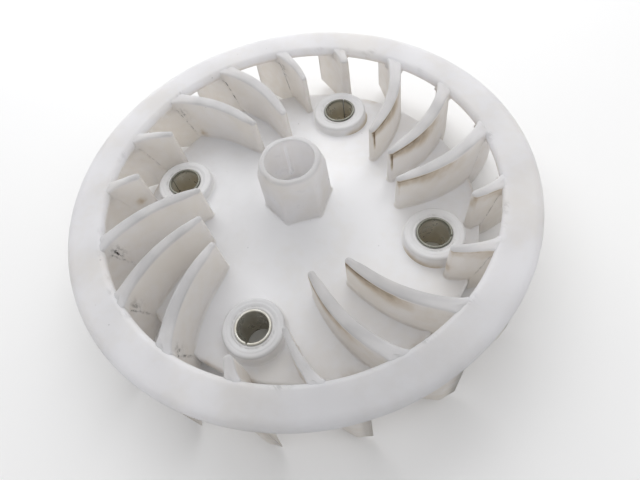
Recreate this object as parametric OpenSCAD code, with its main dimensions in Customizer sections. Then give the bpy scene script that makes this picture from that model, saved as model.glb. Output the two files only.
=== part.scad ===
// Engine cooling fan that bolts to the face of a flywheel.
// Z is the crankshaft axis. Z = 0 is the mounting plane under the four steel sleeves.

/* [Inlet ring] */
// Outer radius of the inlet ring
ring_r = 50; // [49.9:0.1:60]
// Inner radius of the inlet ring, which is the eye of the fan
ring_eye_r = 42.15; // [41:0.05:44]
// Height of the ring's flat underside
ring_under_z = 16; // [15:0.1:16.4]
// Height of the ring's top
ring_top_z = 18.2; // [17.9:0.1:20]
// Rounding of the ring's outer shoulder
ring_shoulder = 1.6; // [0.4:0.1:1.8]
// Rounding of the ring's inner edge
ring_lip = 1.0; // [0.3:0.1:1.2]

/* [Back plate] */
// Outer radius of the back plate
plate_r = 39.4; // [38.5:0.1:40.5]
// Wall thickness of the back plate
plate_t = 2.2; // [1.6:0.1:2.6]
// Height of the plate's top surface at its rim
plate_rim_z = 6; // [5:0.1:7]
// Rise of the plate towards the axis, per millimetre of radius
plate_slope = 0.108; // [0.02:0.002:0.15]
// Radius inside which the plate flares up to the hub
flare_r = 21; // [12:0.5:21]
// Extra height that the flare gains at the foot of the hub
flare_h = 4; // [1:0.1:5]

/* [Hub] */
// Width of the hub's hexagon across its flats
hub_af = 13; // [12.4:0.1:13.4]
// Height of the hub's top
hub_top_z = 26; // [22:0.1:30]
// Radius of the hub's round bore
hub_bore_r = 5.1; // [4:0.05:5.2]
// Depth of the blind bore from the hub's top
hub_bore_depth = 12; // [6:0.1:12.5]

/* [Bolt circle] */
// Number of bolts that hold the fan
bolt_count = 4; // [4:4]
// Diameter of the bolt circle
bolt_circle_d = 60; // [58:0.5:61]
// Outer radius of a bolt boss
boss_r = 6.5; // [5.5:0.1:6.5]
// Chamfer round the top of a bolt boss
boss_chamfer = 0.7; // [0.2:0.1:1.2]
// Outer radius of a rolled steel sleeve
sleeve_r = 3.8; // [3.6:0.05:4.2]
// Inner radius of a sleeve, which clears an M6 bolt
sleeve_bore_r = 3.3; // [3.2:0.05:3.4]
// Length of a sleeve
sleeve_l = 10; // [9.6:0.1:11]
// How far each end of a sleeve stands proud of its boss
sleeve_proud = 0.2; // [0.1:0.05:0.4]
// Width of the seam in a rolled sleeve
sleeve_seam = 0.3; // [0.1:0.05:0.5]

/* [Blades] */
// Number of blades
blade_count = 18; // [18:18]
// Radius of the arc on the hollow side of a blade
blade_hollow_r = 32; // [31.6:0.1:32.4]
// Distance of that arc's centre from the axis
blade_hollow_d = 35; // [34.7:0.1:35.3]
// Direction of the first blade's centre for its hollow side
blade_first_a = 164.2; // [163:0.1:165]
// Radius of the arc on the rounded side of a blade
blade_back_r = 32.2; // [32.1:0.1:32.6]
// Distance of that arc's centre from the axis
blade_back_d = 34.7; // [34.5:0.1:34.8]
// Angle from the hollow side's centre back to the rounded side's centre
blade_back_a = 4.1; // [3.8:0.1:4.4]
// Radius of the arc on the hollow side of a short blade, which is thinner than a full one
short_hollow_r = 32.4; // [32.2:0.1:32.5]
// Radius of the arc on the rounded side of a short blade
short_back_r = 28; // [28:0.1:28.3]
// Distance of that arc's centre from the axis
short_back_d = 35.2; // [35:0.1:35.2]
// Angle from the hollow side's centre back to that arc's centre
short_back_a = 10.8; // [10.4:0.1:11]
// Height of the blades' top edges inside the eye
blade_top_z = 18; // [17.3:0.1:18.1]
// Height of the blades' lower edges outside the plate
blade_foot_z = 1.5; // [0.5:0.1:3]
// Radius at which the blades end under the ring
blade_tip_r = 49.8; // [48:0.1:49.8]
// Radius at which a full blade starts
full_start_r = 21; // [21:0.1:24]
// Start of the short blade beside bosses 1 and 3
beside_start_r = 31.8; // [31:0.1:36]
// Start of the short blade before bosses 2 and 4
before_start_r = 34.6; // [33:0.1:38]
// Start of the short blade behind bosses 2 and 4
behind_start_r = 36.2; // [36:0.1:39]
// Start of the short blade behind bosses 1 and 3
outer_start_r = 38.2; // [37.5:0.1:39]

/* [Hidden] */
$fn = 96;
full_turn = 360;
cut = 1;

bolt_pitch_a = full_turn / bolt_count;
first_bolt_a = 90;
blade_pitch_a = full_turn / blade_count;
half_starts = [beside_start_r, full_start_r, full_start_r, before_start_r, behind_start_r,
               full_start_r, full_start_r, full_start_r, outer_start_r];

hub_r = hub_af / 2 / cos(30);
flare_foot_r = hub_r;
flare_steps = 10;
arc_steps = 6;
boss_under_z = sleeve_proud;
boss_top_z = sleeve_l - sleeve_proud;
hub_under_z = plate_top(flare_foot_r) - plate_t;

nylon = "#e6e7e4";
plate_nylon = "#dddcd6";
blade_nylon = "#c9c4ba";
hub_nylon = "#d3d5d2";
steel = "#a39a7c";

function two_digits(i) = str(i < 10 ? "0" : "", i);
function blade_name(i) = str("fan_blade_", two_digits(i));
function boss_name(i) = str("bolt_boss_", i);
function sleeve_name(i) = str("steel_sleeve_", i);

// Height of the plate's top surface at radius r
function plate_top(r) = plate_rim_z + plate_slope * (plate_r - r)
    + (r < flare_r ? flare_h * pow((flare_r - r) / (flare_r - flare_foot_r), 2) : 0);

// Radius of step i of the flare, counted inwards
function flare_step_r(i) = flare_r - i * (flare_r - flare_foot_r) / flare_steps;

// Points along an arc from angle a to angle b, about the centre c
function arc(c, r, a, b) =
    [for (i = [0:arc_steps]) let (t = a + (b - a) * i / arc_steps) c + r * [cos(t), sin(t)]];

// Places its children at bolt i, with +X pointing away from the axis
module at_bolt(i) {
    rotate([0, 0, first_bolt_a - (i - 1) * bolt_pitch_a])
        translate([bolt_circle_d / 2, 0, 0]) children();
}

// Hexagonal outside of the hub, with a corner on the line through bolts 1 and 3
module hub_prism(z0, z1) {
    rotate([0, 0, first_bolt_a]) translate([0, 0, z0]) cylinder(h = z1 - z0, r = hub_r, $fn = 6);
}

// Flat-bottomed ring with a rounded lip round the eye and a rounded outer shoulder
module inlet_ring() {
    color(nylon) rotate_extrude() polygon(concat(
        [[ring_eye_r, ring_under_z], [ring_r, ring_under_z]],
        arc([ring_r - ring_shoulder, ring_top_z - ring_shoulder], ring_shoulder, 0, 90),
        arc([ring_eye_r + ring_lip, ring_top_z - ring_lip], ring_lip, 90, 180)));
}

// Shallow cone of even thickness that flares up to the hub
module back_plate() {
    color(plate_nylon) difference() {
        rotate_extrude() polygon(concat(
            [[plate_r, plate_rim_z - plate_t], [plate_r, plate_rim_z]],
            [for (i = [0:flare_steps]) [flare_step_r(i), plate_top(flare_step_r(i))]],
            [[0, plate_top(flare_foot_r)], [0, hub_under_z]],
            [for (i = [flare_steps:-1:0]) [flare_step_r(i), plate_top(flare_step_r(i)) - plate_t]]));
        hub_prism(0, hub_top_z);
        for (i = [1:bolt_count]) at_bolt(i) cylinder(h = sleeve_l, r = boss_r);
    }
}

// Hexagonal post with a blind round bore in its top
module hex_hub() {
    color(hub_nylon) difference() {
        hub_prism(hub_under_z, hub_top_z);
        translate([0, 0, hub_top_z - hub_bore_depth]) cylinder(h = hub_bore_depth + cut, r = hub_bore_r);
    }
}

// Boss that stands through the plate round a sleeve
module bolt_boss(i) {
    color(plate_nylon) at_bolt(i) rotate_extrude() polygon([
        [sleeve_r, boss_under_z], [boss_r, boss_under_z], [boss_r, boss_top_z - boss_chamfer],
        [boss_r - boss_chamfer, boss_top_z], [sleeve_r, boss_top_z]]);
}

// Rolled sleeve whose open seam faces away from the axis
module steel_sleeve(i) {
    color(steel) at_bolt(i) difference() {
        cylinder(h = sleeve_l, r = sleeve_r);
        translate([0, 0, -cut]) cylinder(h = sleeve_l + 2 * cut, r = sleeve_bore_r);
        translate([0, -sleeve_seam / 2, -cut]) cube([sleeve_r + cut, sleeve_seam, sleeve_l + 2 * cut]);
    }
}

// Ring of space that a blade starting at radius start_r fills between the plate and the inlet ring
module blade_space(start_r) {
    rotate_extrude() polygon([
        [start_r, plate_top(start_r)], [plate_r, plate_rim_z], [plate_r, blade_foot_z],
        [blade_tip_r, blade_foot_z], [blade_tip_r, ring_under_z], [ring_eye_r, ring_under_z],
        [ring_eye_r, blade_top_z], [start_r, blade_top_z]]);
}

// Round post that reaches past both ends of the blades, with its centre at distance d from the axis
module blade_arc(d, r) {
    translate([d, 0, -cut]) cylinder(h = hub_top_z + 2 * cut, r = r);
}

// Upright curved blade i, counted anticlockwise, between two arcs that part towards its tip
module fan_blade(i) {
    start_r = half_starts[(i - 1) % len(half_starts)];
    short = start_r > full_start_r;
    color(blade_nylon) intersection() {
        blade_space(start_r);
        rotate([0, 0, blade_first_a + (i - 1) * blade_pitch_a]) difference() {
            intersection() {
                rotate([0, 0, -(short ? short_back_a : blade_back_a)])
                    blade_arc(short ? short_back_d : blade_back_d, short ? short_back_r : blade_back_r);
                translate([0, -ring_r, 0]) cube([ring_r, ring_r, hub_top_z]);
            }
            blade_arc(blade_hollow_d, short ? short_hollow_r : blade_hollow_r);
        }
    }
}

inlet_ring();
back_plate();
hex_hub();
for (i = [1:bolt_count]) bolt_boss(i);
for (i = [1:bolt_count]) steel_sleeve(i);
for (i = [1:blade_count]) fan_blade(i);
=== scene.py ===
"""Looks of a moulded cooling fan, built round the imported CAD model. Lengths are in millimetres."""

import math

import bpy
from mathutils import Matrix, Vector, noise


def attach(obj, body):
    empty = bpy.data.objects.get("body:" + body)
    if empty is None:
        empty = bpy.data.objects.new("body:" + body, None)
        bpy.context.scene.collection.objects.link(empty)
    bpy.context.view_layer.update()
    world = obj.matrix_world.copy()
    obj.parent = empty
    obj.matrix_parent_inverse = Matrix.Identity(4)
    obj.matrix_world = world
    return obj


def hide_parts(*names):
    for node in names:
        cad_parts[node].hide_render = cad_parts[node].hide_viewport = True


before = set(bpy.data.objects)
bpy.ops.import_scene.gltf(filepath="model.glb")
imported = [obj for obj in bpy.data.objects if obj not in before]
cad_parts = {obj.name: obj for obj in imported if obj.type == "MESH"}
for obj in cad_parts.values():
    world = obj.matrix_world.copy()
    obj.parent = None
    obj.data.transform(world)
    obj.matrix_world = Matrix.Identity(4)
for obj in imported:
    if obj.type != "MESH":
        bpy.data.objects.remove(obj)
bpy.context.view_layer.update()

MM = 0.001
TAU = 2 * math.pi

# ---------------------------------------------------------------- dimensions, as in the CAD model
RING_R = 50.0
EYE_R = 42.15
RING_UNDER_Z = 16.0
RING_TOP_Z = 18.2

PLATE_R = 39.4
PLATE_T = 2.2
PLATE_RIM_Z = 6.0
PLATE_SLOPE = 0.108
FLARE_R = 21.0
FLARE_H = 4.0

HUB_R = 13 / 2 / math.cos(math.radians(30))
HUB_TOP_Z = 26.0
HUB_BORE_R = 5.1
HUB_FLOOR_Z = 14.0

BOLT_R = 30.0
BOSS_R = 6.5
BOSS_UNDER_Z = 0.2
BOSS_TOP_Z = 9.8
SLEEVE_R = 3.8
SLEEVE_BORE_R = 3.3
SLEEVE_L = 10.0
SLEEVE_SEAM = 0.3

BLADE_PITCH = 20.0
# Arcs of the first blade's hollow side and back: distance and direction of the centre, and radius
FULL_ARCS = (35.0, 164.2, 32.0), (34.7, 160.1, 32.2)
SHORT_ARCS = (35.0, 164.2, 32.4), (35.2, 153.4, 28.0)
BLADE_TOP_Z = 18.0
BLADE_FOOT_Z = 1.5
TIP_R = 49.8
FULL_START_R = 21
HALF_STARTS = [31.8, 21, 21, 34.6, 36.2, 21, 21, 21, 38.2]


def plate_top(r):
    """Height of the back plate's top surface at radius r."""
    r = max(r, HUB_R)
    flare = FLARE_H * ((FLARE_R - r) / (FLARE_R - HUB_R)) ** 2 if r < FLARE_R else 0
    return PLATE_RIM_Z + PLATE_SLOPE * (PLATE_R - r) + flare


def polar(r, degrees):
    return Vector((r * math.cos(math.radians(degrees)), r * math.sin(math.radians(degrees))))


def ease(x, lo, hi):
    """0 below lo, 1 above hi, smooth between."""
    t = min(max((x - lo) / (hi - lo), 0), 1)
    return t * t * (3 - 2 * t)


def hump(x, middle, width):
    return math.exp(-((x - middle) / width) ** 2)


def arc(cx, cy, rx, ry, a0, a1, steps):
    """Points along an elliptical arc, both ends included, angles in degrees."""
    angles = [math.radians(a0 + (a1 - a0) * i / steps) for i in range(steps + 1)]
    return [(cx + rx * math.cos(a), cy + ry * math.sin(a)) for a in angles]


# ---------------------------------------------------------------- camera, floor and light
def make_camera():
    data = bpy.data.cameras.new("camera")
    data.sensor_width = 36
    data.lens = 28.186
    camera = bpy.data.objects.new("camera", data)
    camera.location = (0.03405, -0.05695, 0.10193)
    camera.rotation_euler = [math.radians(a) for a in (30.795, 6.643, 17.826)]
    data.clip_start = 0.005
    bpy.context.scene.collection.objects.link(camera)
    bpy.context.scene.camera = camera


def make_floor():
    side = 1.5
    corners = [(x * side, y * side, 0) for x, y in ((-1, -1), (1, -1), (1, 1), (-1, 1))]
    mesh = bpy.data.meshes.new("floor")
    mesh.from_pydata(corners, [], [(0, 1, 2, 3)])
    floor = bpy.data.objects.new("floor", mesh)
    bpy.context.scene.collection.objects.link(floor)
    floor.data.materials.append(floor_material())


def area_light(name, azimuth, elevation, distance, size, power, colour=(1, 1, 1)):
    """A square softbox that faces the object from the given direction."""
    data = bpy.data.lights.new(name, "AREA")
    data.shape = "SQUARE"
    data.size = size
    data.energy = power
    data.color = colour
    light = bpy.data.objects.new(name, data)
    a, e = math.radians(azimuth), math.radians(elevation)
    away = Vector((math.cos(e) * math.cos(a), math.cos(e) * math.sin(a), math.sin(e)))
    light.location = away * distance
    light.rotation_euler = away.to_track_quat("Z", "Y").to_euler()
    light.visible_camera = False
    bpy.context.scene.collection.objects.link(light)


def make_light():
    area_light("window", azimuth=118, elevation=34, distance=0.45, size=0.6, power=1.85)
    area_light("fill", azimuth=15, elevation=48, distance=0.5, size=0.5, power=0.35)
    world = bpy.data.worlds.new("world")
    world.use_nodes = True
    world.node_tree.nodes["Background"].inputs["Color"].default_value = (1, 1, 1, 1)
    world.node_tree.nodes["Background"].inputs["Strength"].default_value = 0.6
    bpy.context.scene.world = world
    bpy.context.scene.view_settings.view_transform = "Standard"


# ---------------------------------------------------------------- materials
def add_node(tree, kind, inputs=None, **settings):
    """A shader node. An input is given a value, or the output socket that feeds it."""
    node = tree.nodes.new(kind)
    for key, value in settings.items():
        setattr(node, key, value)
    for key, value in (inputs or {}).items():
        if isinstance(value, bpy.types.NodeSocket):
            tree.links.new(value, node.inputs[key])
        else:
            node.inputs[key].default_value = value
    return node


def maths(tree, operation, a, b=0.0, clamp=False):
    return add_node(tree, "ShaderNodeMath", {0: a, 1: b}, operation=operation, use_clamp=clamp).outputs[0]


def ramp(tree, value, lo, hi, out_lo=0.0, out_hi=1.0):
    """value mapped smoothly from lo..hi to out_lo..out_hi."""
    inputs = {"Value": value, "From Min": lo, "From Max": hi, "To Min": out_lo, "To Max": out_hi}
    return add_node(tree, "ShaderNodeMapRange", inputs, interpolation_type="SMOOTHSTEP").outputs[0]


def noise_of(tree, where, scale, detail=2.0, rough=0.5):
    inputs = {"Vector": where, "Scale": scale, "Detail": detail, "Roughness": rough}
    return add_node(tree, "ShaderNodeTexNoise", inputs).outputs["Fac"]


def stretched(tree, where, turn, scale):
    """Coordinates turned about Z and scaled unevenly, for streaks and scratches."""
    turned = add_node(tree, "ShaderNodeMapping", {"Vector": where, "Rotation": (0, 0, turn)}).outputs[0]
    return add_node(tree, "ShaderNodeMapping", {"Vector": turned, "Scale": scale}).outputs[0]


def blend(tree, factor, a, b):
    """Colour a turning into colour b as factor goes from 0 to 1."""
    node = add_node(tree, "ShaderNodeMix", data_type="RGBA")
    for index, value in ((0, factor), (6, a), (7, b)):
        if isinstance(value, bpy.types.NodeSocket):
            tree.links.new(value, node.inputs[index])
        else:
            node.inputs[index].default_value = value
    return node.outputs[2]


def painted(tree, name):
    """A value painted on the mesh, point by point."""
    return add_node(tree, "ShaderNodeAttribute", attribute_name=name).outputs["Fac"]


def new_material(name):
    material = bpy.data.materials.new(name)
    material.use_nodes = True
    tree = material.node_tree
    shader = tree.nodes["Principled BSDF"]
    where = add_node(tree, "ShaderNodeTexCoord").outputs["Object"]
    return material, tree, shader, where


# The aged tone is also painted as shade on the blades' walls and in the hub's bore; the grey below it is
# painted shade.
FRESH = (0.93, 0.93, 0.95, 1)
AGED_AND_SHADED = (0.88, 0.855, 0.82, 1)
PAINTED_SHADE_GREY = (0.64, 0.64, 0.655, 1)
TAN = (0.64, 0.56, 0.46, 1)
BROWN = (0.20, 0.145, 0.09, 1)
SOOT = (0.015, 0.014, 0.013, 1)


def nylon_material(name, fresh=FRESH, aged_and_shaded=AGED_AND_SHADED, gloss=0.36, milky=0.5):
    """Milky natural nylon with specks and scratches, with age, stain and soot where painted, and with painted
    shade
    where painted: grey, the aged tone and some of the brown. milky is the share of light that passes into the
    wall, so that thin walls glow."""
    material, tree, shader, where = new_material(name)
    cloud = noise_of(tree, where, 75, detail=4, rough=0.6)
    mottle = noise_of(tree, where, 420, detail=3)
    grain = noise_of(tree, where, 2600, detail=2)
    tone = maths(tree, "ADD", maths(tree, "MULTIPLY", cloud, 0.7), maths(tree, "MULTIPLY", mottle, 0.3))
    # from fresh to aged tone: ageing at random and where painted, and painted shade on blade walls and in the
    # hub's bore
    age_and_shade = maths(tree, "ADD", painted(tree, "age_and_shade"), ramp(tree, tone, 0.34, 0.66, -0.3, 0.3), clamp=True)
    colour = blend(tree, age_and_shade, fresh, aged_and_shaded)
    # painted shade: a grey blended in where painted, on blade crests, the hub's top and bore, the bosses, and
    # one side of the ring and of the plate
    shade_and_tarnish = maths(tree, "MULTIPLY", painted(tree, "shade_and_tarnish"), ramp(tree, cloud, 0.3, 0.7, 0.8, 1.15))
    colour = blend(tree, shade_and_tarnish, colour, PAINTED_SHADE_GREY)

    # brown stain: on the blades' backs under the crest it is partly painted shade
    stain_and_shade = maths(tree, "MULTIPLY", painted(tree, "stain_and_shade"), ramp(tree, mottle, 0.25, 0.7, 0.75, 1.2))
    colour = blend(tree, ramp(tree, stain_and_shade, 0.0, 0.5), colour, TAN)
    colour = blend(tree, ramp(tree, stain_and_shade, 0.35, 1.0, 0.0, 0.95), colour, BROWN)

    streaks = noise_of(tree, stretched(tree, where, 0.6, (300, 1500, 900)), 1, detail=3, rough=0.6)
    broken = ramp(tree, streaks, 0.42, 0.62, 0.1, 1.2)
    scuff = maths(tree, "MULTIPLY", painted(tree, "soot"), broken, clamp=True)
    speck = ramp(tree, noise_of(tree, where, 650, detail=1), 0.79, 0.83, 0.0, 0.25)
    colour = blend(tree, maths(tree, "MAXIMUM", scuff, speck), colour, SOOT)
    tree.links.new(colour, shader.inputs["Base Color"])

    clean_rough = ramp(tree, mottle, 0.3, 0.7, gloss - 0.05, gloss + 0.1)
    rough = maths(tree, "ADD", clean_rough, maths(tree, "MULTIPLY", stain_and_shade, 0.15))
    tree.links.new(rough, shader.inputs["Roughness"])
    scratch_a = noise_of(tree, stretched(tree, where, 0.5, (60, 5200, 400)), 1, detail=1)
    scratch_b = noise_of(tree, stretched(tree, where, -0.9, (60, 4700, 400)), 1, detail=1)
    scratches = maths(tree, "ADD", ramp(tree, scratch_a, 0.68, 0.74), ramp(tree, scratch_b, 0.70, 0.76))
    orange_peel = maths(tree, "ADD", maths(tree, "MULTIPLY", grain, 0.35), mottle)
    relief = maths(tree, "SUBTRACT", orange_peel, maths(tree, "MULTIPLY", scratches, 0.5))
    bump = add_node(tree, "ShaderNodeBump", {"Height": relief, "Strength": 0.35, "Distance": 0.00006})
    tree.links.new(bump.outputs[0], shader.inputs["Normal"])
    shader.inputs["IOR"].default_value = 1.53

    through = add_node(tree, "ShaderNodeBsdfTranslucent", {"Color": colour})
    both = add_node(tree, "ShaderNodeMixShader", {0: milky, 1: shader.outputs[0], 2: through.outputs[0]})
    tree.links.new(both.outputs[0], tree.nodes["Material Output"].inputs["Surface"])
    return material


def steel_material():
    """Zinc plated steel with fine lines round the bore. It has gone brown and dark where painted."""
    material, tree, shader, where = new_material("plated_steel")
    patches = noise_of(tree, where, 330, detail=3, rough=0.6)
    colour = blend(tree, ramp(tree, patches, 0.3, 0.7), (0.86, 0.85, 0.80, 1), (0.74, 0.71, 0.62, 1))
    colour = blend(tree, painted(tree, "stain_and_shade"), colour, (0.60, 0.52, 0.37, 1))
    colour = blend(tree, painted(tree, "shade_and_tarnish"), colour, (0.20, 0.20, 0.17, 1))
    tree.links.new(colour, shader.inputs["Base Color"])
    shader.inputs["Metallic"].default_value = 0.6
    lines = noise_of(tree, stretched(tree, where, 0, (300, 300, 9000)), 1, detail=2)
    tree.links.new(ramp(tree, patches, 0.3, 0.7, 0.24, 0.42), shader.inputs["Roughness"])
    bump = add_node(tree, "ShaderNodeBump", {"Height": lines, "Strength": 0.4, "Distance": 0.00003})
    tree.links.new(bump.outputs[0], shader.inputs["Normal"])
    return material


def floor_material():
    material, tree, shader, where = new_material("white_table")
    cloud = noise_of(tree, where, 9, detail=3)
    colour = blend(tree, ramp(tree, cloud, 0.3, 0.7), (0.93, 0.93, 0.93, 1), (0.91, 0.91, 0.915, 1))
    tree.links.new(colour, shader.inputs["Base Color"])
    shader.inputs["Roughness"].default_value = 0.55
    return material


# ---------------------------------------------------------------- mesh helpers
class Paint:
    """Values painted on a mesh, point by point, in the order of its points."""

    def __init__(self):
        self.values = {"age_and_shade": [], "shade_and_tarnish": [], "stain_and_shade": [], "soot": []}

    def add(self, age_and_shade=0.0, shade_and_tarnish=0.0, stain_and_shade=0.0, soot=0.0):
        for name, value in (("age_and_shade", age_and_shade), ("shade_and_tarnish", shade_and_tarnish), ("stain_and_shade", stain_and_shade), ("soot", soot)):
            self.values[name].append(value)


def make_piece(name, points, faces, material, node, paint):
    """A closed mesh that stands for one CAD node."""
    mesh = bpy.data.meshes.new(name)
    mesh.from_pydata([Vector(p) * MM for p in points], [], faces)
    mesh.validate()
    mesh.polygons.foreach_set("use_smooth", [True] * len(mesh.polygons))
    for key, values in paint.values.items():
        mesh.attributes.new(key, "FLOAT", "POINT").data.foreach_set("value", values)
    mesh.materials.append(material)
    piece = bpy.data.objects.new(name, mesh)
    bpy.context.scene.collection.objects.link(piece)
    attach(piece, "root")
    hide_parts(node)
    return piece


def loft(loops, close_ends=True):
    """Faces that join a list of closed loops of equal size."""
    n = len(loops[0])
    faces = []
    for low, high in zip(loops, loops[1:]):
        faces += [(low[i], low[(i + 1) % n], high[(i + 1) % n], high[i]) for i in range(n)]
    if close_ends:
        faces += [tuple(reversed(loops[0])), tuple(loops[-1])]
    return faces


def turned_faces(n, steps):
    """Faces that join a closed profile of n points to its copies, step by step, right round an axis. They
    look outwards when the profile runs anticlockwise in the r, z plane."""
    faces = []
    for j in range(steps):
        k = (j + 1) % steps
        faces += [(j * n + i, k * n + i, k * n + (i + 1) % n, j * n + (i + 1) % n) for i in range(n)]
    return faces


def revolve(profile, steps, centre=(0, 0), wobble=None):
    """Points and faces of a closed profile of (r, z) points turned about a vertical axis."""
    points = []
    for j in range(steps):
        a = TAU * j / steps
        for r, z in profile:
            if wobble:
                r, z = wobble(r, z, a)
            points.append((centre[0] + r * math.cos(a), centre[1] + r * math.sin(a), z))
    return points, turned_faces(len(profile), steps)


# ---------------------------------------------------------------- inlet ring
def ring_profile():
    """Section of the ring: flat underside, near-upright outer wall with a parting step, round shoulder, soft
    crown and a rounded lip round the eye."""
    shoulder_z = 17.0
    profile = [(EYE_R + 0.35, RING_UNDER_Z), (44, RING_UNDER_Z), (46.5, RING_UNDER_Z), (49.5, RING_UNDER_Z)]
    profile += arc(49.6, RING_UNDER_Z + 0.3, 0.3, 0.3, -90, 0, 3)
    profile += [(49.93, 16.75), (49.96, 16.84), (49.84, 16.9), (49.82, 16.96)]
    profile += arc(47.7, shoulder_z, 2.16, RING_TOP_Z - shoulder_z - 0.05, 8, 90, 9)
    profile += [(46.2, RING_TOP_Z - 0.01), (44.8, RING_TOP_Z)]
    profile += arc(EYE_R + 1.25, 17.1, 1.25, RING_TOP_Z - 17.1 - 0.02, 90, 180, 7)
    profile += arc(EYE_R + 0.35, RING_UNDER_Z + 0.35, 0.35, 0.35, 180, 255, 3)
    return profile


def make_ring(material):
    steps = 360

    def wobble(r, z, a):
        turn = Vector((math.cos(a), math.sin(a), 0))
        slow = noise.noise(turn * 2.2 + Vector((3, 1, 0)))
        quick = noise.noise(turn * 16)
        if r > 49:
            r += 0.035 * slow + 0.03 * quick - 0.03
        if z > 17:
            z += 0.04 * slow * ease(z, 17, 18)
        return min(r, RING_R - 0.005), z

    points, faces = revolve(ring_profile(), steps, wobble=wobble)
    paint = Paint()
    for x, y, z in points:
        r = math.hypot(x, y)
        patch = noise.noise(Vector((x, y, 0)) * 0.11)
        # painted shade: the ring is painted greyer on its near side, towards -Y and +X
        shaded_near_side = ease(-y, 5, 35) * ease(x, -8, 18)
        inner = hump(r, EYE_R, 0.5) * (1 - ease(z, 16.4, 17.4))
        smudge = max(0, 0.5 * noise.noise(Vector((x, y, 5)) * 0.3) * hump(r, EYE_R + 0.6, 0.9) - 0.12)
        paint.add(age_and_shade=0.12 + 0.3 * max(0, patch), shade_and_tarnish=0.45 * shaded_near_side, stain_and_shade=0.22 * inner, soot=smudge)
    make_piece("ring_moulding", points, faces, material, "inlet_ring", paint)


# ---------------------------------------------------------------- back plate
def plate_profile():
    """Section of the plate from the axis out and back. The hub stands on its middle."""
    rim = 0.8
    out = [HUB_R - 2.5 + i for i in range(0, 33)]
    top = [(r, plate_top(r)) for r in out if r < PLATE_R - rim - 0.3]
    edge = arc(PLATE_R - rim, PLATE_RIM_Z - rim + 0.05, rim, rim, 86, 0, 6)
    edge += arc(PLATE_R - 0.4, PLATE_RIM_Z - PLATE_T + 0.4, 0.4, 0.4, 0, -90, 3)
    under = [(r, plate_top(r) - PLATE_T) for r in reversed(out) if r < PLATE_R - 1]
    return top, edge, under


def cut_round_holes(piece, centres, radius):
    """Cuts upright round holes, hidden inside the bosses, through a piece."""
    for x, y in centres:
        tool_profile = [(0.001, -1), (radius, -1), (radius, 20), (0.001, 20)]
        points, faces = revolve(tool_profile, 64, centre=(x, y))
        mesh = bpy.data.meshes.new("hole_tool")
        mesh.from_pydata([Vector(p) * MM for p in points], [], faces)
        tool = bpy.data.objects.new("hole_tool", mesh)
        bpy.context.scene.collection.objects.link(tool)
        cut = piece.modifiers.new("hole", "BOOLEAN")
        cut.operation = "DIFFERENCE"
        cut.solver = "EXACT"
        cut.object = tool
        bpy.context.view_layer.update()
        result = bpy.data.meshes.new_from_object(piece.evaluated_get(bpy.context.evaluated_depsgraph_get()))
        piece.modifiers.clear()
        piece.data = result
        bpy.data.objects.remove(tool)
    piece.data.name = piece.name


def bolt_centre(i):
    return polar(BOLT_R, 90 - 90 * (i - 1))


def make_plate(material):
    top, edge, under = plate_profile()
    middle_top = (0.001, plate_top(0))
    middle_under = (0.001, plate_top(0) - PLATE_T)
    profile = [middle_top] + top + edge + under + [middle_under]
    points, faces = revolve(profile[::-1], 240)
    paint = Paint()
    for x, y, z in points:
        r = math.hypot(x, y)
        patch = noise.noise(Vector((x, y, 2)) * 0.09)
        rim = hump(r, PLATE_R, 0.9) * ease(noise.noise(Vector((x, y, 9)) * 0.2), -0.1, 0.3)
        outer = max(0, 0.02 + 0.10 * patch) * ease(r, 24, 38)
        # painted shade: the plate is painted greyer towards -X
        paint.add(age_and_shade=0.2 * ease(r, 26, 39), shade_and_tarnish=0.35 * ease(-x, 0, 15), stain_and_shade=outer + 0.25 * rim)
    plate = make_piece("plate_moulding", points, faces, material, "back_plate", paint)
    cut_round_holes(plate, [bolt_centre(i) for i in range(1, 5)], (SLEEVE_R + BOSS_R) / 2)


# ---------------------------------------------------------------- bosses and sleeves
# Where oil has crept round the foot of a boss: its direction and strength
FOOT_STAINS = {1: (-14, 0.8), 2: (256, 0.8)}
# How much painted shade greys the face of a boss, where it isn't like the others
FACE_SHADE = {3: 0.6}


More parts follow.
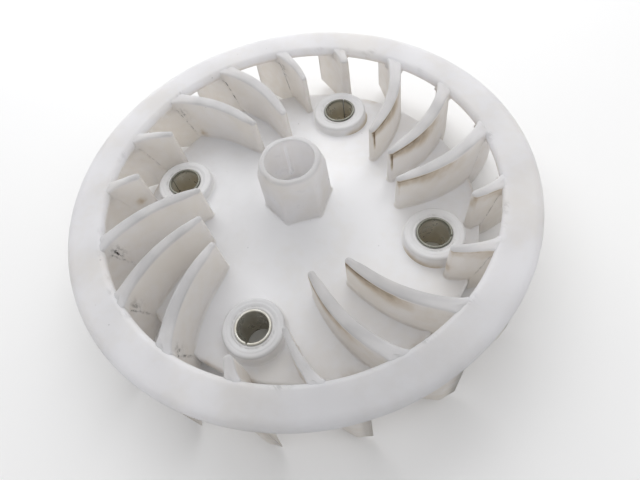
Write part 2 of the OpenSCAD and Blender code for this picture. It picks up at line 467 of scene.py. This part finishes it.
def make_boss(i, material):
    """Boss with a round shoulder, turned rings round the sleeve and a small fillet at the plate."""
    centre = bolt_centre(i)
    fillet, shoulder = 0.5, 0.55
    inner, groove_r = SLEEVE_R - 0.02, 4.42
    steps = 120
    wall_foot_z = 3.2
    rows = [(inner, BOSS_UNDER_Z, False), (5.2, BOSS_UNDER_Z, False)]
    rows += [(r, z, False) for r, z in arc(BOSS_R - 0.5, BOSS_UNDER_Z + 0.5, 0.5, 0.5, -90, 0, 3)]
    rows += [(BOSS_R, wall_foot_z, False), (BOSS_R + fillet, -0.9, True), (BOSS_R + fillet, -0.02, True)]
    for k in range(1, 6):
        t = math.radians(90 * k / 5)
        rows.append((BOSS_R + fillet * (1 - math.sin(t)), fillet * (1 - math.cos(t)), True))
    edge_r = BOSS_R - 0.02
    rows.append((edge_r, BOSS_TOP_Z - shoulder - 0.25, False))
    shoulder_c = (edge_r - shoulder, BOSS_TOP_Z - shoulder)
    rows += [(r, z, False) for r, z in arc(*shoulder_c, shoulder, shoulder, 0, 90, 6)]
    turned_rings = ((5.55, 0), (5.45, 0.03), (5.35, 0), (4.95, 0), (4.8, 0.09), (4.5, 0.10),
                    (groove_r, 0.14), (4.34, 0.10), (4.1, 0.11), (inner, 0.2))
    rows += [(r, BOSS_TOP_Z - depth, False) for r, depth in turned_rings]
    stain_a, stain_strength = FOOT_STAINS.get(i, (0, 0))
    points, paint = [], Paint()
    for j in range(steps):
        a = TAU * j / steps
        facing = math.cos(a - math.radians(stain_a))
        for r, z, on_plate in rows:
            x, y = centre.x + r * math.cos(a), centre.y + r * math.sin(a)
            points.append((x, y, z + plate_top(math.hypot(x, y)) if on_plate else z))
            foot = on_plate * hump(r, BOSS_R + 0.35, 0.4) * ease(facing, 0.55, 0.9) * stain_strength
            patch = 0.5 + noise.noise(Vector((x, y, i * 7)) * 0.16)
            groove = hump(r, groove_r, 0.1) * ease(patch, 0.3, 0.7)
            face = ease(z, BOSS_TOP_Z - 0.8, BOSS_TOP_Z - 0.2)
            # painted shade: the whole boss is painted a little grey, its face more
            paint.add(age_and_shade=0.3, shade_and_tarnish=0.15 + FACE_SHADE.get(i, 0.35) * face,
                      stain_and_shade=0.6 * foot + 0.10 * hump(r, 4.2, 0.4), soot=0.25 * groove)
    faces = turned_faces(len(rows), steps)
    make_piece(f"boss_moulding_{i}", points, faces, material, f"bolt_boss_{i}", paint)


# How far each sleeve has gone dark: its rim, then its bore
TARNISH = {1: (1.0, 0.0), 2: (1.0, 0.1), 3: (0.3, 0.45), 4: (1.0, 0.0)}


def make_sleeve(i, material):
    """Rolled sleeve with rounded rims and an open seam that faces away from the axis."""
    centre = bolt_centre(i)
    out_a = math.radians(90 - 90 * (i - 1))
    lip = 0.16
    profile = arc(SLEEVE_R - lip, lip, lip, lip, -90, 0, 3)
    profile += arc(SLEEVE_R - lip, SLEEVE_L - lip, lip, lip, 0, 90, 4)
    profile += arc(SLEEVE_BORE_R + lip, SLEEVE_L - lip, lip, lip, 90, 180, 4)
    profile += [(SLEEVE_BORE_R, z) for z in (9, 7.5, 6, 4.5, 3, 1.5)]
    profile += arc(SLEEVE_BORE_R + lip, lip, lip, lip, 180, 270, 3)
    steps = 90
    half_gap = SLEEVE_SEAM / 2 / SLEEVE_BORE_R
    rim_dark, bore_dark = TARNISH[i]
    points, paint = [], Paint()
    for j in range(steps + 1):
        a = out_a + half_gap + (TAU - 2 * half_gap) * j / steps
        for r, z in profile:
            points.append((centre.x + r * math.cos(a), centre.y + r * math.sin(a), z))
            patch = 0.55 + 0.4 * noise.noise(Vector((a, z * 0.3, i)))
            rim = 1 - ease(SLEEVE_L - z, 0.1, 0.4)
            shade_and_tarnish = rim_dark * rim * (0.5 + patch) + bore_dark * (1 - rim)
            paint.add(shade_and_tarnish=shade_and_tarnish, stain_and_shade=ease(SLEEVE_L - z, 0.5, 6) * patch)
    n = len(profile)
    loops = [[j * n + m for m in range(n)] for j in range(steps + 1)]
    faces = [face[::-1] for face in loft(loops)]
    make_piece(f"sleeve_rolled_{i}", points, faces, material, f"steel_sleeve_{i}", paint)


# ---------------------------------------------------------------- hub
def hexagon_r(degrees, radius, corner):
    """Distance from the axis to a hexagon whose corners are rounded. One corner is on the +Y axis."""
    off = math.radians(abs((degrees - 60) % 60 - 30))
    half = math.radians(30)
    centre = radius - corner / math.cos(half)
    if math.tan(off) < corner * math.sin(half) / (centre + corner * math.cos(half)):
        return centre * math.cos(off) + math.sqrt(corner ** 2 - (centre * math.sin(off)) ** 2)
    return radius * math.cos(half) / math.cos(half - off)


def make_hub(material):
    """Hexagonal post with a fillet at its foot and corners that fade out at its top like a nut's. Its blind
    bore has one moulded rib down the wall, which ends in a nub."""
    fillet, top_round, mouth = 0.3, 0.6, 0.15
    corner, top_corner, fade_h = 0.9, 5.2, 3.0
    draft, bore_draft = 0.02, 0.008
    rib_a, rib_w, rib_h = 124, 4.5, 0.4
    nub_z, nub_h = HUB_FLOOR_Z + 2.2, 0.9
    foot_z = plate_top(HUB_R)
    levels = [(fillet, -0.8, True)]
    for k in range(7):
        t = math.radians(90 * k / 6)
        levels.append((fillet * (1 - math.sin(t)), fillet * (1 - math.cos(t)), True))
    for z in (16.5, 18.5, 20.5, 22.5, 23.2, 23.9, 24.6, HUB_TOP_Z - top_round):
        levels.append((-draft * (z - foot_z), z, False))
    for k in range(1, 6):
        t = math.radians(90 * k / 5)
        inset = draft * (HUB_TOP_Z - foot_z) + top_round * (1 - math.cos(t))
        levels.append((-inset, HUB_TOP_Z - top_round + top_round * math.sin(t), False))
    points, loops, paint = [], [], Paint()
    angles = range(360)

    def add_loop(outline):
        loops.append(list(range(len(points), len(points) + len(outline))))
        points.extend(outline)

    for grow, z, on_plate in levels:
        rounding = corner + max(grow, 0) + (top_corner - corner) * ease(z, HUB_TOP_Z - fade_h, HUB_TOP_Z)
        size = HUB_R - 0.02 + grow / math.cos(math.radians(30))
        outline = [polar(hexagon_r(a, size, rounding), a) for a in angles]
        add_loop([(p.x, p.y, z + (plate_top(p.length) if on_plate else 0)) for p in outline])

    def round_loop(r, z):
        """One loop of the bore, drawn in where the rib and the nub at its foot stand."""
        tall = rib_h * ease(z, nub_z - 0.6, nub_z) * (1 - ease(z, HUB_TOP_Z - 1.7, HUB_TOP_Z - 1.0))
        nub = nub_h * hump(z, nub_z, 0.5)
        height = max(tall, nub) if r > 3 else 0
        swell = [height * hump(a, rib_a, rib_w) for a in angles]
        add_loop([(*polar(r - w, a), z) for a, w in zip(angles, swell)])

    for r, z in arc(HUB_BORE_R + mouth, HUB_TOP_Z - mouth, mouth, mouth, 90, 180, 4):
        round_loop(r, z)
    for depth in (0.6, 0.9, 1.2, 1.5, 1.8, 4, 6, 8, 9, 9.3, 9.6, 9.8, 10, 10.3, 10.6, 11, 11.5):
        round_loop(HUB_BORE_R - bore_draft * depth, HUB_TOP_Z - depth)
    for r, z in arc(HUB_BORE_R - 0.6, HUB_FLOOR_Z + 0.5, 0.5, 0.5, 0, -90, 3):
        round_loop(r, z)
    gate_mark = ((3, 0), (1.6, 0.02), (1.1, 0.15), (0.9, 0.5), (0.5, 0.75), (0.1, 0.8))
    for r, height in gate_mark:
        round_loop(r, HUB_FLOOR_Z + height)
    faces = loft(loops)
    for x, y, z in points:
        r = math.hypot(x, y)
        outside = ease(r, HUB_BORE_R + 0.2, HUB_BORE_R + 0.6)
        shaded_bore_wall = (1 - outside) * ease(r, HUB_BORE_R - 0.35, HUB_BORE_R - 0.15)
        patch = 0.5 + noise.noise(Vector((x, y, z)) * 0.25)
        top = ease(r, HUB_BORE_R - 0.1, HUB_BORE_R + 0.1) * ease(z, HUB_TOP_Z - 0.6, HUB_TOP_Z - 0.1)
        # painted shade: the bore's wall is painted in the aged tone and grey, and the top round the mouth
        # grey, so that the rib stands out lighter
        paint.add(age_and_shade=outside * (0.35 + 0.35 * patch) + 0.5 * shaded_bore_wall,
                  shade_and_tarnish=0.6 * top + 0.2 * shaded_bore_wall * (1 - top), stain_and_shade=0.05 * outside * patch)
    make_piece("hub_moulding", points, faces, material, "hex_hub", paint)


# ---------------------------------------------------------------- blades
def side_point(r, centre_d, centre_a, arc_r):
    """Where a blade's side arc crosses radius r, on the arc's clockwise branch."""
    c = (r * r + centre_d ** 2 - arc_r ** 2) / (2 * r * centre_d)
    return polar(r, centre_a - math.degrees(math.acos(c)))


# Ribs of a blade's mesh lean between the first and the last radius, so that the one at LINE_R follows the
# shut-off line of the mould
LEAN_FROM, LINE_R, LEAN_TO = 39.5, 42.2, 44.0
# How far that line leans out, per millimetre of height
SHUT_OFF_LEAN = 0.275


def shut_off_r(z):
    """Radius at height z of the slanted line on a blade where the two halves of the mould meet."""
    return min(max(PLATE_R + SHUT_OFF_LEAN * (z - PLATE_RIM_Z), LEAN_FROM + 0.12), LINE_R)


def leaning(r, z):
    """Radius at height z of the rib that stands at radius r under the ring."""
    line = shut_off_r(z)
    if LEAN_FROM < r <= LINE_R:
        return LEAN_FROM + (r - LEAN_FROM) * (line - LEAN_FROM) / (LINE_R - LEAN_FROM)
    if LINE_R < r < LEAN_TO:
        return line + (r - LINE_R) * (LEAN_TO - line) / (LEAN_TO - LINE_R)
    return r


class BladePlan:
    """Plan of one blade: ribs that run in along the hollow side, round the nose and out along the back."""

    def __init__(self, number, start_r):
        turn = BLADE_PITCH * (number - 1)
        self.start_r = start_r
        self.full = start_r == FULL_START_R
        arcs = FULL_ARCS if self.full else SHORT_ARCS
        self.hollow, self.back = [(d, a + turn, arc_r) for d, a, arc_r in arcs]
        self.hollow_c, self.back_c = polar(*self.hollow[:2]), polar(*self.back[:2])
        nose_w = self.rim_point(start_r + 1, True)[2]
        nose_r = start_r + nose_w
        centre, ahead = self.middle(nose_r), self.middle(nose_r + 0.2)
        along = (ahead - centre).normalized()
        across = Vector((-along.y, along.x))
        first_r = max((centre + across * nose_w).length, (centre - across * nose_w).length) + 0.25
        steps = 12
        nose = []
        for k in range(steps + 1):
            t = math.pi * k / steps
            nose.append((None, (centre, across * math.cos(t) - along * math.sin(t), nose_w), k / steps))
        stations = self.stations(first_r)
        self.ribs = [(r, None, 0.0) for r in reversed(stations)] + nose + [(r, None, 1.0) for r in stations]

    def middle(self, r):
        """Point midway between both sides at radius r."""
        sides = [self.rim_point(r, hollow) for hollow in (True, False)]
        return sum((core + out * width for core, out, width in sides), Vector((0, 0))) / 2

    def stations(self, first_r):
        """Radii of the ribs: even along the blade, and close at the plate's rim, the shut-off line and the
        tip."""
        marks = [39.0, 39.38, LEAN_FROM, 41.3, 41.8, 42.05, LINE_R, 42.28, 42.42, 42.8, 43.4]
        marks += [TIP_R - 0.5, TIP_R - 0.15, TIP_R]
        radii = [first_r]
        for mark in marks:
            if mark > first_r + 0.15:
                start = radii[-1]
                gaps = max(1, round((mark - start) / 0.8))
                radii += [start + (mark - start) * j / gaps for j in range(1, gaps + 1)]
        return radii

    def rim_point(self, r, hollow):
        """A core point, the outward direction and the half width there. A full blade's hollow side draws in
        a little towards the nose."""
        near_nose = max(0, self.start_r + 4.5 - r) / 3.5 if self.full else 0
        draw_in = 0.5 * near_nose ** 2
        if hollow:
            point = side_point(r, *self.hollow)
            out = (self.hollow_c - point).normalized()
            point = point - out * draw_in
            width = (self.back[2] - (point - self.back_c).length) / 2
        else:
            point = side_point(r, *self.back)
            out = (point - self.back_c).normalized()
            width = ((point - self.hollow_c).length - self.hollow[2] - draw_in) / 2
        return point - out * width, out, width

    def rib_at(self, rib, z):
        """A rib's core point, outward direction and half width at height z, and how far the tip is cut back.
        A rib is its radius, its place if it is on the nose, and 0 on the hollow side to 1 on the back."""
        r, nose, side = rib
        if nose:
            return *nose, 0.0
        return *self.rim_point(leaning(r, z), side == 0), 0.3 * ease(r, 49.4, TIP_R)


# How strongly each blade is painted under its crest with brown oil stain and painted shade
STREAKS = {12: 1.0, 11: 0.9, 15: 0.7, 16: 1.0, 17: 0.9, 13: 0.4, 14: 0.4, 2: 0.25, 3: 0.25, 7: 0.3, 6: 0.25}
# Which side each blade has a dark line on at the shut-off line, and how dark it is
HOLLOW_LINES = {1: 0.9, 2: 1.0, 3: 0.6, 4: 0.3, 6: 0.6, 7: 0.5, 8: 0.7}
BACK_LINES = {14: 0.5, 15: 0.6, 13: 0.4}
# Blades with dashes of soot on the hollow side next to that line
SCUFFS = {6: 1.0, 7: 0.5, 8: 0.6, 1: 0.5, 3: 0.4}
# Brown patches on the hollow side: radius, height, strength
PATCHES = {5: (38.5, 10.5, 0.5), 3: (38.0, 7.4, 0.5)}
# Full blades with a dark line down the corner of the nose
NOSE_LINES = (16, 17)
# Dirt at the foot of a short blade's nose, and at the top of it
NOSE_DIRT = {13: (11.0, 0.4), 14: (15.5, 0.35)}


def blade_stain_and_shade(number, r, start_r, side, z):
    """Brown oil stain and painted shade: a sharp line at the crest's lower edge on the back with a soft halo
    below it, both partly painted shade under the crest, a line down the corner of the nose, and patches."""
    strength = STREAKS.get(number, 0.2)
    depth = BLADE_TOP_Z - z
    back = ease(side, 0.5, 0.8)
    reach = r - start_r
    edge = 0.62 + 0.02 * reach
    # the line and the halo are partly oil stain, partly painted shade under the crest's edge
    line = hump(depth, edge, 0.22) * (1 - ease(reach, 5.0, 11.0))
    stain_and_shade_halo = hump(depth, edge + 0.5, 0.9 + 0.22 * reach) * (1 - ease(reach, 8.0, 19.0)) if depth > edge else 0
    nose_strength = 0.9 if number in NOSE_LINES else 0.2
    on_nose = 0 < side < 1
    nose = nose_strength * on_nose * hump(side, 0.88, 0.12) * ease(depth, 0.6, 1.6) * (1 - ease(depth, 4, 7))
    outer = 0.10 * ease(r, 33, 42) * ease(depth, 0.8, 3.5)
    patch_r, patch_z, patch_strength = PATCHES.get(number, (0, 0, 0))
    patch = patch_strength * hump(r, patch_r, 0.8) * hump(z, patch_z, 0.9) * (side == 0)
    dirt_z, dirt_strength = NOSE_DIRT.get(number, (0, 0))
    dirt = dirt_strength * hump(z, dirt_z, 1.6) * hump(side, 0.7, 0.4) * hump(reach, 0, 1.5)
    return strength * (0.75 * back * line + 0.62 * back * stain_and_shade_halo + nose) + outer + patch + dirt


def blade_soot(number, r, side, z):
    """Black marks: along the shut-off line, strongest halfway up, and dashes beside it on the hollow side."""
    hollow = side == 0
    lines = HOLLOW_LINES if hollow else BACK_LINES
    line = lines.get(number, 0) * (side in (0, 1))
    past = r - shut_off_r(z)
    line *= hump(past, 0.04, 0.17) * ease(z, 6.2, 9.0) * (1 - ease(z, 14.5, 16.2))
    dashes = hump(past, -0.65, 0.16) + 0.35 * hump(past, -1.4, 0.7)
    return line + SCUFFS.get(number, 0) * hollow * dashes * hump(z, 14.2, 2.2)


def make_blade(number, material):
    start_r = HALF_STARTS[(number - 1) % len(HALF_STARTS)]
    plan = BladePlan(number, start_r)
    fillet, ridge, crown, draft = 0.45, 0.12, 0.06, 0.02
    wall_marks = (0.07, 0.15, 0.24, 0.33, 0.42, 0.51, 0.6, 0.68, 0.75, 0.81,
                  0.86, 0.905, 0.94, 0.965, 0.985, 1.0)
    round_steps = 5
    last_wall = 5 + len(wall_marks)
    levels = last_wall + 1 + round_steps + 2
    points, loops, paint = [], [], Paint()

    def web(r, z):
        """How far a blade swells where it runs into the ring: round below the ring, and slight above it."""
        above = ease(z, RING_UNDER_Z + 0.1, RING_UNDER_Z + 1.1)
        size = 0.96 * ease(z, 14.6, RING_UNDER_Z + 0.1) * (1 - above) + 0.4 * above
        away = max(0, EYE_R - r) / (1.2 + 1.3 * above)
        if away > 1:
            return 0
        return size * (1 - math.sqrt(1 - (1 - away) ** 2)) * (1 - above * ease(r, EYE_R + 0.1, EYE_R + 1))

    def rib_point(rib, k):
        """A rib's point in plan at level k, its height, and the wall's radius there. k counts up from the
        buried foot to the ridge of the crest."""
        stand_r = rib[0] or start_r
        on_plate = stand_r < PLATE_R - 0.01
        dive = 1.5 * ease(stand_r, 43.0, 44.4)
        if k < 6 and on_plate:
            core, out, width, _ = plan.rib_at(rib, PLATE_RIM_Z)
            wall = core + out * width
            f = fillet * (1 - ease(wall.length, PLATE_R - 2.2, PLATE_R - 0.1))
            t = math.radians(90 * max(0, k - 1) / 4)
            grow = 0 if k == 5 else f * (1 - math.sin(t))
            lift = (-0.9, -0.02)[k] if k < 2 else f + 0.05 if k == 5 else f * (1 - math.cos(t))
            place = wall + out * grow
            return place, plate_top(place.length) + lift, wall.length
        if k < 6:
            grow = (-0.32, -0.16, -0.06, -0.01, 0, 0)[k]
            z = BLADE_FOOT_Z + (0, 0.04, 0.14, 0.3, 0.5, 0.9)[k]
        elif k <= last_wall:
            grow = 0
            low = plate_top(stand_r) + fillet + 0.05 if on_plate else BLADE_FOOT_Z + 0.9
            high = BLADE_TOP_Z - 0.5 - dive
            z = low + (high - low) * wall_marks[k - 6]
        else:
            grow = None
            z = BLADE_TOP_Z - dive - 0.3
        core, out, width, cut = plan.rib_at(rib, z)
        top_round = min(0.5, 0.7 * width)
        fade = 1
        if grow is None and k <= last_wall + round_steps:
            t = math.radians(90 * (k - last_wall) / round_steps)
            grow = -top_round * (1 - math.cos(t))
            z = BLADE_TOP_Z - dive - crown - (top_round - crown) * (1 - math.sin(t))
        elif grow is None:
            inner = (k - last_wall - round_steps) / 3
            flat = max(0, width - top_round - ridge)
            grow = -top_round - flat * min(inner, 1)
            fade = ridge / max(width - top_round, ridge)
            z = BLADE_TOP_Z - dive - crown * (1 - inner) ** 2
        r = (core + out * width).length
        inside_tip = 1 - ease(stand_r, 47.0, 49.4)
        grow += draft * max(0, BLADE_TOP_Z - dive - 1 - z) * inside_tip
        step_in = 0.1 * ease(stand_r, LINE_R + 0.01, LINE_R + 0.07)
        place = core + out * (width + grow + web(r, z) * fade * inside_tip - cut - step_in)
        if place.length > TIP_R:
            place *= TIP_R / place.length
        return place, z, r

    for k in range(levels):
        loop = []
        for rib in plan.ribs:
            place, z, r = rib_point(rib, k)
            loop.append(len(points))
            points.append((place.x, place.y, z))
            # painted shade: the crest is painted grey in patches, more towards -Y and less towards the outer
            # end, and the walls in the aged tone
            crest = 1 - ease(BLADE_TOP_Z - z, 0.1, 0.9)
            patch = 1 + 0.5 * noise.noise(Vector((place.x, place.y, number)) * 0.3)
            shade_and_tarnish = crest * (0.74 - 0.22 * place.y / RING_R) * patch
            shade_and_tarnish *= 1 - (0.9 - 0.5 * ease(-place.y, 5, 25)) * ease(r, 36, 42)
            paint.add(age_and_shade=0.1 + 0.65 * (1 - crest), shade_and_tarnish=shade_and_tarnish,
                      stain_and_shade=blade_stain_and_shade(number, r, start_r, rib[2], z), soot=blade_soot(number, r, rib[2], z))
        loops.append(loop)
    faces = loft(loops, close_ends=False)
    n = len(plan.ribs)
    for j in range((n - 1) // 2):
        a, b, c, d = j, j + 1, n - 2 - j, n - 1 - j
        corners = (a, b, d) if b == c else (a, b, c, d)
        faces.append(tuple(loops[0][m] for m in reversed(corners)))
        faces.append(tuple(loops[-1][m] for m in corners))
    name, node = f"blade_moulding_{number:02d}", f"fan_blade_{number:02d}"
    make_piece(name, points, faces, material, node, paint)


# ---------------------------------------------------------------- everything
make_camera()
make_floor()
make_light()

ring_nylon = nylon_material("ring_nylon")
plate_nylon = nylon_material("plate_nylon", milky=0.1)
hub_nylon = nylon_material("hub_nylon", gloss=0.32)
blade_nylon = nylon_material("blade_nylon")
steel = steel_material()

make_ring(ring_nylon)
make_plate(plate_nylon)
make_hub(hub_nylon)
for i in range(1, 5):
    make_boss(i, plate_nylon)
    make_sleeve(i, steel)
for i in range(1, 19):
    make_blade(i, blade_nylon)
